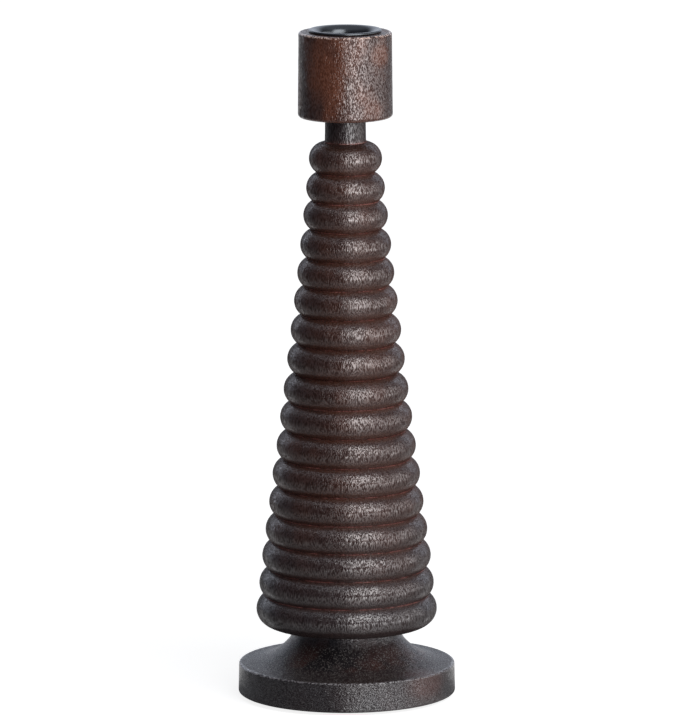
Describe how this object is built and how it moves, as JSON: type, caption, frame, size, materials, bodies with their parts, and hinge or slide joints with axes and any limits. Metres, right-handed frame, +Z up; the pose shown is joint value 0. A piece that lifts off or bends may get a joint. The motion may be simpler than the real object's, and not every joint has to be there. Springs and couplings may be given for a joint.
{
  "type": "candlestick",
  "caption": "Turned wooden candlestick with a round base, a tapering column of rounded rings and a plain block that holds a flared metal cup for a dinner candle.",
  "frame": {"origin": "on the lathe axis, at the felt pads' undersides, where the candlestick stands", "axes": "+Z up along the lathe axis, towards the candle; +X and +Y between neighbouring felt pads"},
  "size_m": [0.097, 0.097, 0.3],
  "materials": {
    "base_wood": "brushed and burnt, dark brown-black, satin",
    "column_wood": "brushed and burnt, dark brown-black with reddish brown worn ring tops, satin",
    "block_wood": "brushed and burnt, dark reddish brown, satin",
    "cup_metal": "black, satin",
    "screw_steel": "zinc-plated",
    "pad_felt": "dark grey felt"
  },
  "bodies": {
    "root": {"base": "base_wood", "column": "column_wood", "socket_block": "block_wood", "candle_cup": "cup_metal", "cup_screw": "screw_steel", "base_screw": "screw_steel", "base_washer": "screw_steel", "felt_pad_1": "pad_felt", "felt_pad_2": "pad_felt", "felt_pad_3": "pad_felt", "felt_pad_4": "pad_felt"}
  },
  "joints": []
}
